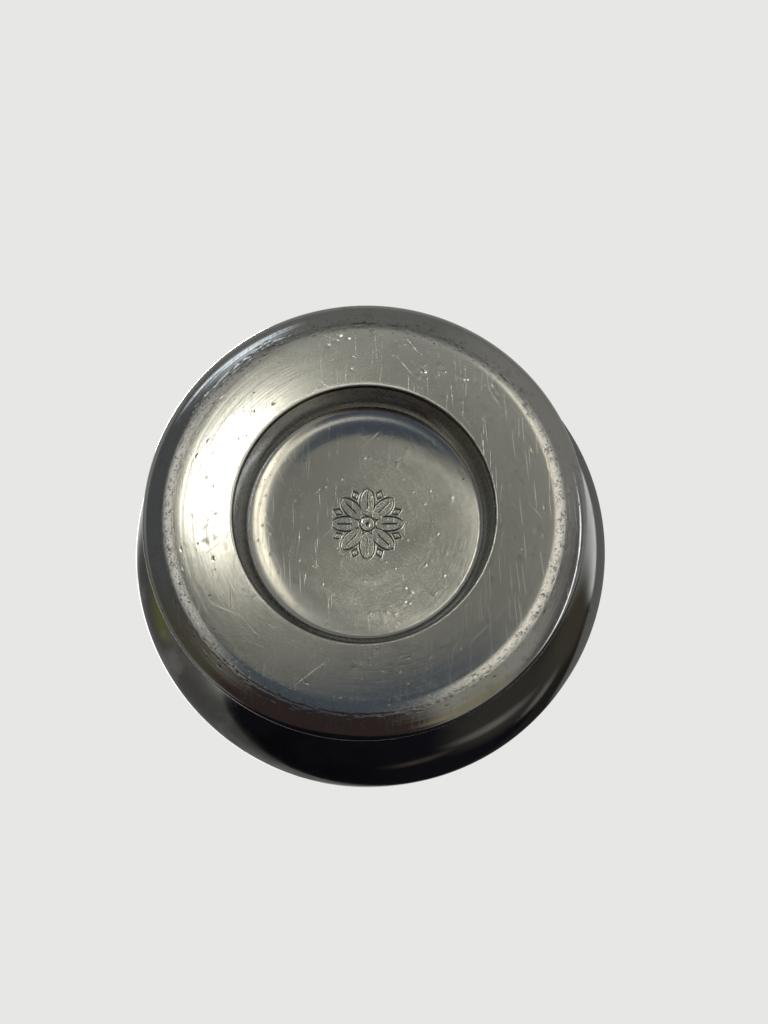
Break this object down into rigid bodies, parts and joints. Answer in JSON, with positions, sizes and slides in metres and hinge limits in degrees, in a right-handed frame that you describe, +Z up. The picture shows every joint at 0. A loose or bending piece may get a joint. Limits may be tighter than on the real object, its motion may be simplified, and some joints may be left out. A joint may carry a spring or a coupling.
{
  "type": "sugar bowl",
  "caption": "Round bellied pewter sugar bowl on a low spun foot with a recessed underside and a lift-off domed lid with a knob.",
  "frame": {"origin": "middle of the flat ring that the foot stands on", "axes": "+Z up along the axis that every piece is turned about"},
  "size_m": [0.0952, 0.0952, 0.0891],
  "materials": {
    "polished_pewter": "polished pewter, fine handling scratches",
    "satin_pewter": "satin pewter with concentric spin lines, worn",
    "solder": "matt soft solder",
    "brass": "dull machined brass"
  },
  "bodies": {
    "bowl": {"bowl_body": "polished_pewter", "rim_wire": "polished_pewter", "foot_ring": "satin_pewter", "recess_cup": "satin_pewter", "solder_seam": "solder"},
    "lid": {"lid_dome": "polished_pewter", "lid_bezel": "satin_pewter", "knob_seat": "polished_pewter", "lid_knob": "polished_pewter", "knob_stud": "brass", "knob_nut": "brass"}
  },
  "joints": [
    {"name": "lid_lift", "type": "slide", "parent": "bowl", "child": "lid", "axis": [0, 0, 1], "range_m": [0, 0.08]}
  ]
}
